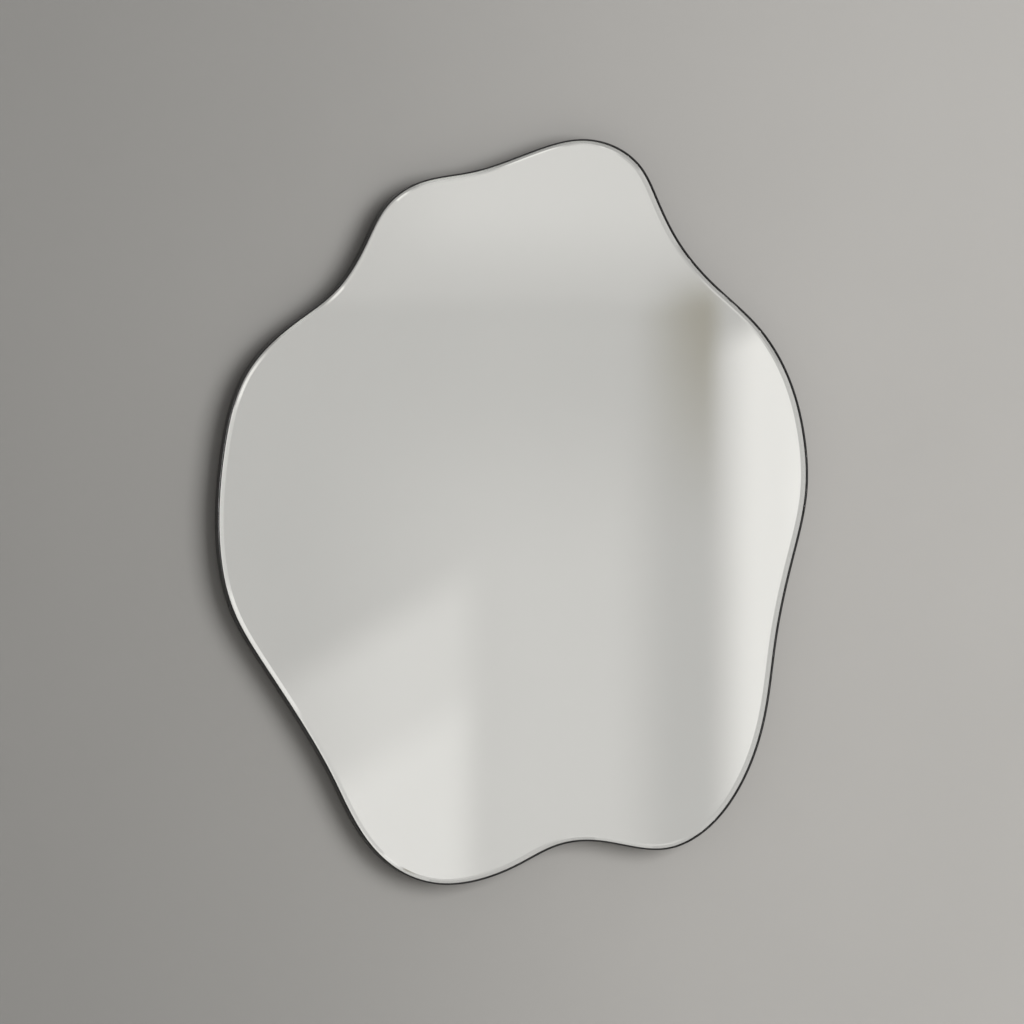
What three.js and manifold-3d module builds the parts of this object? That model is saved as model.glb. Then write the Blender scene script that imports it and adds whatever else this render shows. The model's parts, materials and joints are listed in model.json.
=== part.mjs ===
// A wall mirror with a free-form outline. A sheet of silvered glass with a narrow polished
// bevel is taped to a black backing board, and one thin black strip runs round the edge of
// both. Two strap hangers with swinging D-rings and four bumpers are on the back.
//
// Millimetres, +Z up. The glass faces -Y, and the wall is the plane y = 0. The point x = 0,
// z = 0 is the middle of the outline's height and width. Left and right are the viewer's.

import * as THREE from 'three';
import { mergeVertices } from 'three/addons/utils/BufferGeometryUtils.js';
import Module from 'manifold-3d';

const wasm = await Module();
wasm.setup();

// Outline of the whole mirror, over the edge strip
const MIRROR_WIDTH = 450;
const MIRROR_HEIGHT = 550;
const OUTLINE_STEPS = 360;

// Points on the outer edge as drawn, [x, z], clockwise from the crest of the upper lobe.
// The curve through them is brought to the exact width and height above.
const OUTLINE_KNOTS = [
  // upper lobe and the long hollow on its right
  [49.5, 275], [75, 270], [94.5, 255.5], [107, 232.5], [124.5, 199.5], [151.5, 169],
  // right lobe, the widest
  [186.5, 137.5], [210, 101], [222.5, 57.5], [224.5, 13.5],
  // slack hollow, then the lower right lobe
  [213.5, -37], [200.5, -96], [191.5, -155], [169, -211.5], [142.5, -240.5], [116, -252],
  // shallow hollow underneath
  [86, -250], [56, -245], [30, -248], [1.5, -261],
  // bottom lobe
  [-29, -272], [-59, -274.5], [-88, -265.5], [-115.5, -240.5],
  // almost straight lower left side
  [-140.5, -195], [-193.5, -109.5],
  // left lobe
  [-215, -71], [-224.5, -24], [-221, 44], [-204, 100], [-171.5, 134.5],
  // hollow and upper left lobe
  [-137.5, 161.5], [-115, 196.5], [-100.5, 222.5], [-78, 239.5],
  // almost straight rise back to the upper lobe
  [-37, 249], [15, 267],
];

// Glass, its silvering and its bevel
const GLASS_THICKNESS = 4;
const BEVEL_WIDTH = 2.8;
const BEVEL_DROP = 1.2;
const SILVER_THICKNESS = 0.1;

// Backing board and the mounting tape between board and glass
const BOARD_THICKNESS = 8;
const TAPE_THICKNESS = 1;
const TAPE_WIDTH = 20;
const TAPE_SIDE_MARGIN = 58;
const TAPE_COUNT = 6;
const TAPE_END_MARGIN = 25;

// Edge strip, bent round the board and the glass, with its ends butted at the lowest point
const STRIP_THICKNESS = 1;
const STRIP_CHAMFER = 0.3;
const STRIP_BUTT_GAP = 0.3;

// Clearances
const BOND_LINE = 0.05;
const STRIP_GLUE_GAP = 0.1;
const GLASS_EDGE_CLEARANCE = 0.2;
const RING_BAR_CLEARANCE = 0.15;
const RING_BOARD_CLEARANCE = 0.3;
const SCREW_PILOT_CLEARANCE = 0.1;
const SCREW_STRAP_CLEARANCE = 0.3;
const CUT_OVERSHOOT = 1;

// Bumpers on the back, each this far in from the edge at a share of the way round it
const BUMPER_HEIGHT = 5;
const BUMPER_RADIUS = 7;
const BUMPER_ROUNDING = 1.2;
const BUMPER_EDGE_INSET = 24;
const BUMPER_PLACES = {
  upper_right: 0.03,
  lower_right: 0.4,
  lower_left: 0.56,
  upper_left: 0.91,
};

// Strap hangers: a steel strip folded round the bar of the ring, held by two screws
const HANGER_DROP = 175;
const HANGER_EDGE_DISTANCE = 100;
const STRAP_SHEET = 0.8;
const STRAP_WIDTH = 13;
const STRAP_LENGTH = 34;
const STRAP_CORNER = 4.5;
const SCREW_END_DISTANCE = 8;
const SCREW_DROPS = { upper: 10.5, lower: STRAP_LENGTH - SCREW_END_DISTANCE };

// D-ring, measured on the centre line of its wire
const RING_WIRE_RADIUS = 1.1;
const RING_HALF_WIDTH = 9.6;
const RING_CORNER = 2.5;
const RING_ARM_TOP = 5;

// Pan-head screws
const SCREW_SHANK_RADIUS = 1.4;
const SCREW_LENGTH = 8;
const SCREW_POINT = 1.8;
const SCREW_HEAD_RADIUS = 3;
const SCREW_HEAD_HEIGHT = 1.9;
const SCREW_HEAD_RIM = 0.5;
const SCREW_CROWN_RADIUS = 1.2;
const SCREW_RECESS_WIDTH = 0.9;
const SCREW_RECESS_SPAN = 3.4;
const SCREW_RECESS_DEPTH = 1;

// Fineness of the round shapes
const BORE_SEGMENTS = 20;
const SCREW_SEGMENTS = 16;
const BUMPER_SEGMENTS = 28;
const ROUNDING_STEPS = 3;
const RING_WIRE_SEGMENTS = 10;
const RING_CORNER_STEPS = 4;
const RING_BOW_STEPS = 16;
const SLOPE_SWEEPS = 60;

// Finishes
const finish = {
  glass: new THREE.MeshStandardMaterial({ color: 0xdfeae4, roughness: 0.02, metalness: 0 }),
  silver: new THREE.MeshStandardMaterial({ color: 0xe6e7e2, roughness: 0.03, metalness: 1 }),
  board: new THREE.MeshStandardMaterial({ color: 0x1b1b1a, roughness: 0.75, metalness: 0 }),
  strip: new THREE.MeshStandardMaterial({ color: 0x141414, roughness: 0.45, metalness: 0 }),
  tape: new THREE.MeshStandardMaterial({ color: 0xe9e7df, roughness: 0.9, metalness: 0 }),
  zinc: new THREE.MeshStandardMaterial({ color: 0xb9bcbf, roughness: 0.35, metalness: 1 }),
  rubber: new THREE.MeshStandardMaterial({ color: 0x2a2a2a, roughness: 0.85, metalness: 0 }),
};

// Depths of the layers, from the wall to the face of the glass
const boardBack = -(BUMPER_HEIGHT + BOND_LINE);
const boardFront = boardBack - BOARD_THICKNESS;
const tapeBack = boardFront - BOND_LINE;
const tapeFront = tapeBack - TAPE_THICKNESS;
const silverBack = tapeFront - BOND_LINE;
const silverFront = silverBack - SILVER_THICKNESS;
const glassBack = silverFront - BOND_LINE;
const glassFront = glassBack - GLASS_THICKNESS;

// Slopes that carry the curvature smoothly through each knot of a closed curve, found by
// letting every knot settle between its neighbours.
function knotSlopes(knots) {
  const spans = knots.map((knot, i) => knot.distanceTo(knots[(i + 1) % knots.length]));
  const slopes = knots.map(() => new THREE.Vector2());
  for (let sweep = 0; sweep < SLOPE_SWEEPS; sweep += 1) {
    knots.forEach((knot, i) => {
      const last = (i + knots.length - 1) % knots.length;
      const next = (i + 1) % knots.length;
      const before = spans[last];
      const after = spans[i];
      const rise = knot.clone().sub(knots[last]).multiplyScalar((3 * after) / before);
      rise.add(knots[next].clone().sub(knot).multiplyScalar((3 * before) / after));
      rise.addScaledVector(slopes[last], -after).addScaledVector(slopes[next], -before);
      slopes[i] = rise.multiplyScalar(1 / (2 * (before + after)));
    });
  }
  return { slopes, spans };
}

// Closed curve through the knots, as evenly spaced points.
function smoothOutline(knots, steps) {
  const { slopes, spans } = knotSlopes(knots);
  const path = new THREE.Path();
  path.moveTo(knots[0].x, knots[0].y);
  knots.forEach((knot, i) => {
    const end = knots[(i + 1) % knots.length];
    const out = knot.clone().addScaledVector(slopes[i], spans[i] / 3);
    const back = end.clone().addScaledVector(slopes[(i + 1) % knots.length], -spans[i] / 3);
    path.bezierCurveTo(out.x, out.y, back.x, back.y, end.x, end.y);
  });
  return path.getSpacedPoints(steps).slice(0, steps);
}

// The same points, stretched and moved to fill a width and a height about the origin.
function fitOutline(points, width, height) {
  const box = new THREE.Box2().setFromPoints(points);
  const size = box.getSize(new THREE.Vector2());
  const centre = box.getCenter(new THREE.Vector2());
  const stretch = new THREE.Vector2(width / size.x, height / size.y);
  return points.map((point) => point.clone().sub(centre).multiply(stretch));
}

// Unit vector that points into a clockwise outline at one of its points.
function inward(outline, index) {
  const count = outline.length;
  const along = outline[(index + 1) % count].clone().sub(outline[(index + count - 1) % count]);
  return new THREE.Vector2(along.y, -along.x).normalize();
}

// A parallel outline, moved in by a distance.
function inset(outline, distance) {
  return outline.map((point, i) => point.clone().addScaledVector(inward(outline, i), distance));
}

// Clear height of an outline between two upright lines near its middle.
function columnSpan(outline, left, right) {
  const column = outline.filter((point) => point.x > left && point.x < right);
  const heights = column.map((point) => point.y);
  return {
    low: Math.max(...heights.filter((height) => height < 0)),
    high: Math.min(...heights.filter((height) => height > 0)),
  };
}

// Clear width of an outline between two level lines.
function rowSpan(outline, bottom, top) {
  const row = outline.filter((point) => point.y > bottom && point.y < top);
  const places = row.map((point) => point.x);
  return {
    left: Math.max(...places.filter((place) => place < 0)),
    right: Math.min(...places.filter((place) => place > 0)),
  };
}

// Geometry from a list of vertices and a list of triangles.
function meshGeometry(vertices, triangles) {
  const geometry = new THREE.BufferGeometry();
  const positions = new Float32Array(vertices.flatMap((vertex) => vertex.toArray()));
  geometry.setAttribute('position', new THREE.BufferAttribute(positions, 3));
  geometry.setIndex(triangles.flat());
  geometry.computeVertexNormals();
  return geometry;
}

// Closed solid through a stack of outlines with equal counts, each at its own depth. The
// first is the one nearest the wall.
function stackedSolid(layers) {
  const count = layers[0].outline.length;
  const vertices = layers.flatMap(({ outline, y }) => (
    outline.map((point) => new THREE.Vector3(point.x, y, point.y))
  ));
  const triangles = [];
  for (let layer = 0; layer + 1 < layers.length; layer += 1) {
    for (let i = 0; i < count; i += 1) {
      const next = (i + 1) % count;
      const rear = layer * count;
      const front = rear + count;
      triangles.push([rear + i, front + i, front + next]);
      triangles.push([rear + i, front + next, rear + next]);
    }
  }
  const addCap = (layer, towardsViewer) => {
    const { outline } = layers[layer];
    THREE.ShapeUtils.triangulateShape(outline, []).forEach(([a, b, c]) => {
      const turn = outline[b].clone().sub(outline[a]).cross(outline[c].clone().sub(outline[a]));
      const corners = (turn > 0) === towardsViewer ? [a, b, c] : [a, c, b];
      triangles.push(corners.map((corner) => corner + layer * count));
    });
  };
  addCap(0, false);
  addCap(layers.length - 1, true);
  return meshGeometry(vertices, triangles);
}

// Flat sheet that starts at y = 0 and goes towards the viewer.
function sheet(outline, thickness) {
  return stackedSolid([{ outline, y: 0 }, { outline, y: -thickness }]);
}

// Round wire bent along a closed path in the XZ plane.
function wireLoop(path, radius, segments) {
  const vertices = [];
  const triangles = [];
  path.forEach((point, i) => {
    const side = inward(path, i);
    for (let k = 0; k < segments; k += 1) {
      const angle = (2 * Math.PI * k) / segments;
      const reach = radius * Math.cos(angle);
      const depth = radius * Math.sin(angle);
      vertices.push(new THREE.Vector3(point.x + side.x * reach, depth, point.y + side.y * reach));
    }
    for (let k = 0; k < segments; k += 1) {
      const here = i * segments;
      const next = ((i + 1) % path.length) * segments;
      const turn = (k + 1) % segments;
      triangles.push([here + k, next + turn, next + k]);
      triangles.push([here + k, here + turn, next + turn]);
    }
  });
  return meshGeometry(vertices, triangles);
}

// Solid for cutting and joining, from a closed geometry.
function toSolid(geometry) {
  const bare = geometry.clone();
  bare.deleteAttribute('normal');
  bare.deleteAttribute('uv');
  const merged = mergeVertices(bare);
  const corners = merged.index.array;
  const kept = [];
  for (let i = 0; i < corners.length; i += 3) {
    const [a, b, c] = corners.slice(i, i + 3);
    if (a !== b && b !== c && c !== a) kept.push(a, b, c);
  }
  return new wasm.Manifold(new wasm.Mesh({
    numProp: 3,
    vertProperties: merged.attributes.position.array,
    triVerts: new Uint32Array(kept),
  }));
}

// Geometry back from a solid.
function fromSolid(solid) {
  const { vertProperties, triVerts } = solid.getMesh();
  const geometry = new THREE.BufferGeometry();
  geometry.setAttribute('position', new THREE.BufferAttribute(vertProperties, 3));
  geometry.setIndex(new THREE.BufferAttribute(triVerts, 1));
  geometry.computeVertexNormals();
  return geometry;
}

// One geometry with others cut away from it.
function cut(geometry, tools) {
  return fromSolid(tools.reduce((solid, tool) => solid.subtract(toSolid(tool)), toSolid(geometry)));
}

// Round rod along Y, from one depth to another.
function rodAlongY(radius, start, end, x, z, segments) {
  const rod = new THREE.CylinderGeometry(radius, radius, Math.abs(end - start), segments);
  return rod.translate(x, (start + end) / 2, z);
}

function addPiece(parent, name, geometry, material, place = [0, 0, 0]) {
  const mesh = new THREE.Mesh(geometry, material);
  mesh.name = name;
  mesh.position.set(...place);
  parent.add(mesh);
}

// Glass with its bevel ground off the front edge.
function glassGeometry(outline) {
  const bevelled = inset(outline, BEVEL_WIDTH);
  return stackedSolid([
    { outline, y: 0 },
    { outline, y: BEVEL_DROP - GLASS_THICKNESS },
    { outline: bevelled, y: -GLASS_THICKNESS },
  ]);
}

// Edge strip: a band with both outer corners broken, open at the butt joint.
function stripGeometry(outline) {
  const depth = boardBack - glassFront;
  const eased = inset(outline, STRIP_CHAMFER);
  const filled = stackedSolid([
    { outline: eased, y: 0 },
    { outline, y: -STRIP_CHAMFER },
    { outline, y: STRIP_CHAMFER - depth },
    { outline: eased, y: -depth },
  ]);
  const hollow = stackedSolid([
    { outline: inset(outline, STRIP_THICKNESS), y: CUT_OVERSHOOT },
    { outline: inset(outline, STRIP_THICKNESS), y: -depth - CUT_OVERSHOOT },
  ]);
  const lowest = outline.reduce((low, point) => (point.y < low.y ? point : low));
  const reach = 2 * (STRIP_THICKNESS + CUT_OVERSHOOT);
  const butt = new THREE.BoxGeometry(STRIP_BUTT_GAP, depth + 2 * CUT_OVERSHOOT, reach);
  butt.translate(lowest.x, -depth / 2, lowest.y);
  return cut(filled, [hollow, butt]);
}

// Places of the two hangers: the axis of each ring's bar on the back of the board.
const ringAxisHeight = STRAP_SHEET + RING_BAR_CLEARANCE + RING_WIRE_RADIUS;
const hangerHeight = MIRROR_HEIGHT / 2 - HANGER_DROP;

function hangerPlaces(outline) {
  const span = rowSpan(outline, hangerHeight - STRAP_LENGTH, hangerHeight + RING_HALF_WIDTH);
  return {
    left: span.left + HANGER_EDGE_DISTANCE,
    right: span.right - HANGER_EDGE_DISTANCE,
  };
}

// Board with a blind pilot hole for each hanger screw.
function boardGeometry(outline, places) {
  const holeDepth = SCREW_LENGTH - 2 * STRAP_SHEET + SCREW_PILOT_CLEARANCE;
  const holeRadius = SCREW_SHANK_RADIUS + SCREW_PILOT_CLEARANCE;
  const holes = Object.values(places).flatMap((x) => (
    Object.values(SCREW_DROPS).map((drop) => (
      rodAlongY(holeRadius, CUT_OVERSHOOT, -holeDepth, x, hangerHeight - drop, SCREW_SEGMENTS)
    ))
  ));
  return cut(sheet(outline, BOARD_THICKNESS), holes);
}

// Folded strap. It lies on y = 0 with its knuckle round the ring's bar at z = 0.
function strapGeometry() {
  const half = STRAP_WIDTH / 2;
  const face = new THREE.Shape();
  face.moveTo(-half, 0);
  face.lineTo(-half, STRAP_CORNER - STRAP_LENGTH);
  face.absarc(STRAP_CORNER - half, STRAP_CORNER - STRAP_LENGTH, STRAP_CORNER, Math.PI, 1.5 * Math.PI);
  face.absarc(half - STRAP_CORNER, STRAP_CORNER - STRAP_LENGTH, STRAP_CORNER, 1.5 * Math.PI, 0);
  face.lineTo(half, 0);
  face.closePath();
  const plate = new THREE.ExtrudeGeometry(face, {
    depth: 2 * STRAP_SHEET,
    bevelEnabled: false,
    curveSegments: ROUNDING_STEPS + 1,
  });
  plate.rotateX(Math.PI / 2).translate(0, 2 * STRAP_SHEET, 0);
  const knuckle = new THREE.CylinderGeometry(
    ringAxisHeight,
    ringAxisHeight,
    STRAP_WIDTH,
    BORE_SEGMENTS,
  );
  knuckle.rotateZ(Math.PI / 2).translate(0, ringAxisHeight, 0);
  const bore = new THREE.CylinderGeometry(
    RING_WIRE_RADIUS + RING_BAR_CLEARANCE,
    RING_WIRE_RADIUS + RING_BAR_CLEARANCE,
    STRAP_WIDTH + 2 * CUT_OVERSHOOT,
    BORE_SEGMENTS,
  );
  bore.rotateZ(Math.PI / 2).translate(0, ringAxisHeight, 0);
  const holes = Object.values(SCREW_DROPS).map((drop) => rodAlongY(
    SCREW_SHANK_RADIUS + SCREW_STRAP_CLEARANCE,
    -CUT_OVERSHOOT,
    2 * STRAP_SHEET + CUT_OVERSHOOT,
    0,
    -drop,
    SCREW_SEGMENTS,
  ));
  return cut(fromSolid(toSolid(plate).add(toSolid(knuckle))), [bore, ...holes]);
}

// Closed D of round wire: a straight bar on the X axis, two arms and a half-round bow.
function ringGeometry() {
  const points = [];
  const addArc = (x, z, radius, from, to, steps) => {
    for (let i = 0; i <= steps; i += 1) {
      const angle = THREE.MathUtils.lerp(from, to, i / steps);
      points.push(new THREE.Vector2(x + radius * Math.cos(angle), z + radius * Math.sin(angle)));
    }
  };
  const cornerX = RING_HALF_WIDTH - RING_CORNER;
  addArc(-cornerX, RING_CORNER, RING_CORNER, 1.5 * Math.PI, Math.PI, RING_CORNER_STEPS);
  addArc(0, RING_ARM_TOP, RING_HALF_WIDTH, Math.PI, 0, RING_BOW_STEPS);
  addArc(cornerX, RING_CORNER, RING_CORNER, 0, -0.5 * Math.PI, RING_CORNER_STEPS);
  return wireLoop(points, RING_WIRE_RADIUS, RING_WIRE_SEGMENTS);
}

// Pan-head screw along Y with its head seat at y = 0 and its point towards -Y.
function screwGeometry() {
  const profile = [
    new THREE.Vector2(0, -SCREW_LENGTH),
    new THREE.Vector2(SCREW_SHANK_RADIUS, SCREW_POINT - SCREW_LENGTH),
    new THREE.Vector2(SCREW_SHANK_RADIUS, 0),
    new THREE.Vector2(SCREW_HEAD_RADIUS, 0),
  ];
  for (let i = 0; i <= ROUNDING_STEPS; i += 1) {
    const angle = (Math.PI / 2) * (i / ROUNDING_STEPS);
    profile.push(new THREE.Vector2(
      THREE.MathUtils.lerp(SCREW_CROWN_RADIUS, SCREW_HEAD_RADIUS, Math.cos(angle)),
      THREE.MathUtils.lerp(SCREW_HEAD_RIM, SCREW_HEAD_HEIGHT, Math.sin(angle)),
    ));
  }
  profile.push(new THREE.Vector2(0, SCREW_HEAD_HEIGHT));
  const body = new THREE.LatheGeometry(profile, SCREW_SEGMENTS);
  const height = SCREW_RECESS_DEPTH + CUT_OVERSHOOT;
  const middle = SCREW_HEAD_HEIGHT - SCREW_RECESS_DEPTH + height / 2;
  const slots = [
    new THREE.BoxGeometry(SCREW_RECESS_SPAN, height, SCREW_RECESS_WIDTH),
    new THREE.BoxGeometry(SCREW_RECESS_WIDTH, height, SCREW_RECESS_SPAN),
  ];
  return cut(body, slots.map((slot) => slot.translate(0, middle, 0)));
}

// Round pad from y = 0 at the wall to the back of the board, its wall edge rounded.
function bumperGeometry() {
  const profile = [new THREE.Vector2(0, -BUMPER_HEIGHT), new THREE.Vector2(BUMPER_RADIUS, -BUMPER_HEIGHT)];
  for (let i = 0; i <= ROUNDING_STEPS; i += 1) {
    const angle = (Math.PI / 2) * (i / ROUNDING_STEPS);
    profile.push(new THREE.Vector2(
      BUMPER_RADIUS - BUMPER_ROUNDING * (1 - Math.cos(angle)),
      -BUMPER_ROUNDING * (1 - Math.sin(angle)),
    ));
  }
  profile.push(new THREE.Vector2(0, 0));
  return new THREE.LatheGeometry(profile, BUMPER_SEGMENTS);
}

// One strap hanger with its ring and screws, on the back of the board.
function addHanger(parent, side, x) {
  const hanger = new THREE.Group();
  hanger.position.set(x, boardBack + BOND_LINE, hangerHeight);
  parent.add(hanger);
  addPiece(hanger, `hanger_strap_${side}`, strapGeometry(), finish.zinc);

  Object.entries(SCREW_DROPS).forEach(([level, drop]) => {
    const seat = [0, 2 * STRAP_SHEET + BOND_LINE, -drop];
    addPiece(hanger, `hanger_screw_${side}_${level}`, screwGeometry(), finish.zinc, seat);
  });

  // The bow leans on the board, so that the ring stays up by its own weight.
  const bowHeight = RING_ARM_TOP + RING_HALF_WIDTH;
  const bowDepth = RING_WIRE_RADIUS + RING_BOARD_CLEARANCE - BOND_LINE;
  const swing = new THREE.Group();
  swing.position.set(0, ringAxisHeight, 0);
  swing.rotation.x = Math.asin((ringAxisHeight - bowDepth) / bowHeight);
  hanger.add(swing);
  addPiece(swing, `d_ring_${side}`, ringGeometry(), finish.zinc);
}

// Upright runs of tape, spread evenly across the board and stopped short of its edge.
function addTapes(parent, outline) {
  const board = new THREE.Box2().setFromPoints(outline);
  for (let i = 0; i < TAPE_COUNT; i += 1) {
    const x = THREE.MathUtils.lerp(
      board.min.x + TAPE_SIDE_MARGIN,
      board.max.x - TAPE_SIDE_MARGIN,
      i / (TAPE_COUNT - 1),
    );
    const span = columnSpan(outline, x - TAPE_WIDTH / 2, x + TAPE_WIDTH / 2);
    const length = span.high - span.low - 2 * TAPE_END_MARGIN;
    const tape = new THREE.BoxGeometry(TAPE_WIDTH, TAPE_THICKNESS, length);
    const place = [x, (tapeBack + tapeFront) / 2, (span.low + span.high) / 2];
    addPiece(parent, `foam_tape_${i + 1}`, tape, finish.tape, place);
  }
}

function addBumpers(parent, outline) {
  const placesInside = inset(outline, BUMPER_EDGE_INSET);
  Object.entries(BUMPER_PLACES).forEach(([corner, share]) => {
    const spot = placesInside[Math.round(share * outline.length) % outline.length];
    addPiece(parent, `wall_bumper_${corner}`, bumperGeometry(), finish.rubber, [spot.x, 0, spot.y]);
  });
}

const drawn = smoothOutline(OUTLINE_KNOTS.map(([x, z]) => new THREE.Vector2(x, z)), OUTLINE_STEPS);
const outerOutline = fitOutline(drawn, MIRROR_WIDTH, MIRROR_HEIGHT);
const glassOutline = inset(outerOutline, STRIP_THICKNESS + GLASS_EDGE_CLEARANCE);
const boardOutline = inset(outerOutline, STRIP_THICKNESS + STRIP_GLUE_GAP);
const hangers = hangerPlaces(boardOutline);

const mirror = new THREE.Group();
addPiece(mirror, 'mirror_glass', glassGeometry(glassOutline), finish.glass, [0, glassBack, 0]);
addPiece(mirror, 'silver_coat', sheet(glassOutline, SILVER_THICKNESS), finish.silver, [0, silverBack, 0]);
addPiece(mirror, 'backing_board', boardGeometry(boardOutline, hangers), finish.board, [0, boardBack, 0]);
addPiece(mirror, 'edge_strip', stripGeometry(outerOutline), finish.strip, [0, boardBack, 0]);
addTapes(mirror, boardOutline);
addBumpers(mirror, boardOutline);
addHanger(mirror, 'left', hangers.left);
addHanger(mirror, 'right', hangers.right);

export default mirror;
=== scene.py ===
"""Dresses the packed CAD model of a free-form wall mirror and sets it in a small studio.

Metres, +Z up. The glass faces -Y, and the wall is the plane y = 0. Left and right are the
viewer's. Sizes come from the CAD frame or from the settings below.
"""

import json
import math
from collections import namedtuple

import bmesh
import bpy
import numpy as np
from bpy.props import FloatProperty, FloatVectorProperty, PointerProperty
from mathutils import Matrix, Vector


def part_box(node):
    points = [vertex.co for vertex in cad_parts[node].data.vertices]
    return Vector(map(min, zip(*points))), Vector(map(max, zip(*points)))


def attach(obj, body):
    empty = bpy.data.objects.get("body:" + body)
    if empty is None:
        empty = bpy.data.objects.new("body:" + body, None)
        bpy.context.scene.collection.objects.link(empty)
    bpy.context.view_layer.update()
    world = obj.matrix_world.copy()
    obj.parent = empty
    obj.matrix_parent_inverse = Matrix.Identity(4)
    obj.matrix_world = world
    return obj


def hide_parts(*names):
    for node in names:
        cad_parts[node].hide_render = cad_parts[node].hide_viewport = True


bl_info = {
    "name": "Free-form Wall Mirror",
    "version": (1, 0, 0),
    "blender": (4, 5, 0),
    "location": "3D Viewport > Sidebar > Wall Mirror",
    "description": "Dresses the CAD model of a free-form wall mirror and lights it",
    "category": "Object",
}

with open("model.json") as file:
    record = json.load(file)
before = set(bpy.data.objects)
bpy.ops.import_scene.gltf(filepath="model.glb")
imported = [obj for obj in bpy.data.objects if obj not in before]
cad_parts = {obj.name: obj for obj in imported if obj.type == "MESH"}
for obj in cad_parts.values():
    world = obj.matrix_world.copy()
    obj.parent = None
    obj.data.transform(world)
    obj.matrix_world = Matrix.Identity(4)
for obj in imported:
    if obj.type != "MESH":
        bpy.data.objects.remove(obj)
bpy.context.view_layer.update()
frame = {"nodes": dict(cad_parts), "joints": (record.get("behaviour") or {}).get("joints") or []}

MM = 0.001
TAPES = [f"foam_tape_{number}" for number in range(1, 7)]
BUMPERS = [
    "wall_bumper_upper_right",
    "wall_bumper_lower_right",
    "wall_bumper_lower_left",
    "wall_bumper_upper_left",
]
SIDES = ("left", "right")
SCREW_LEVELS = ("upper", "lower")

# Sizes of the CAD that the frame's boxes don't show
CAD_GLUE_GAP = 0.1 * MM
SCREW_HEAD_HEIGHT = 1.9 * MM
SEAT_GAP = 0.05 * MM

# Fineness of the meshes
OUTLINE_POINTS = 1440
WALL_POINTS = 360
ROUNDING_STEPS = 4
EASING_STEPS = 2
TURNED_SEGMENTS = 48
SCREW_SEGMENTS = 32
WIRE_SIDES = 24
BOW_STEPS = 48
BEND_STEPS = 10
FOLD_STEPS = 28
SAME_PLACE = 0.002 * MM

# An edge that turns by more than this is shaded sharp, on most pieces and on the glass
SHARP_ANGLE = math.radians(30)
BEVEL_ANGLE = math.radians(12)
# An edge of a strap that turns by more than this is eased
CUT_EDGE_ANGLE = math.radians(50)

# Seeds for the angles that the screws and the bumpers stop at
SCREW_SEED = 7
BUMPER_SEED = 3


# ---------------------------------------------------------------- settings


def length(name, description, default):
    return FloatProperty(
        name=name,
        description=description,
        default=default,
        min=0.0,
        precision=5,
        unit="LENGTH",
        subtype="DISTANCE",
    )


def share(name, description, default):
    return FloatProperty(
        name=name, description=description, default=default, min=0.0, soft_max=1.0
    )


def power(name, description, default):
    return FloatProperty(
        name=name, description=description, default=default, min=0.0, unit="POWER"
    )


def colour(name, description, default):
    return FloatVectorProperty(
        name=name,
        description=description,
        default=default,
        size=3,
        min=0.0,
        max=1.0,
        subtype="COLOR",
    )


class WallMirrorPane(bpy.types.PropertyGroup):
    """Glass and silvering"""

    bevel_width: length("Bevel Width", "Width of the polished bevel", 2.8 * MM)
    bevel_drop: length("Bevel Drop", "Depth the bevel loses at the edge", 1.2 * MM)
    seam: length("Seam", "Small flat ground on the rear edge of the glass", 0.3 * MM)
    glass_tint: colour("Glass Tint", "Colour of the clear float glass", (0.97, 0.985, 0.975))
    silver_tint: colour("Silver Tint", "Colour of the silvering", (0.95, 0.95, 0.935))
    paint: colour("Backing Paint", "Paint on the back of the silvering", (0.16, 0.17, 0.17))


class WallMirrorBack(bpy.types.PropertyGroup):
    """Board, edge strip, tape and bumpers"""

    board_easing: length("Board Easing", "Radius of the board's edges", 0.5 * MM)
    board: colour("Board", "Black coat of the fibreboard", (0.02, 0.0195, 0.019))
    strip_rounding: length("Strip Rounding", "Radius of the strip's outer corners", 0.3 * MM)
    strip_arris: length("Strip Arris", "Radius of the strip's inner corners", 0.08 * MM)
    strip_gap: length("Strip Gap", "Gap where the ends of the strip meet", 0.3 * MM)
    strip: colour("Strip", "Satin black of the edge strip", (0.011, 0.011, 0.011))
    tape_rounding: length("Tape Rounding", "Radius of the tape's cut edges", 0.12 * MM)
    tape: colour("Tape", "Closed-cell mounting foam", (0.8, 0.78, 0.72))
    bumper_rounding: length("Bumper Rounding", "Radius of the bumper's wall edge", 1.2 * MM)
    bumper: colour("Bumper", "Matt black rubber", (0.035, 0.035, 0.036))


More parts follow.
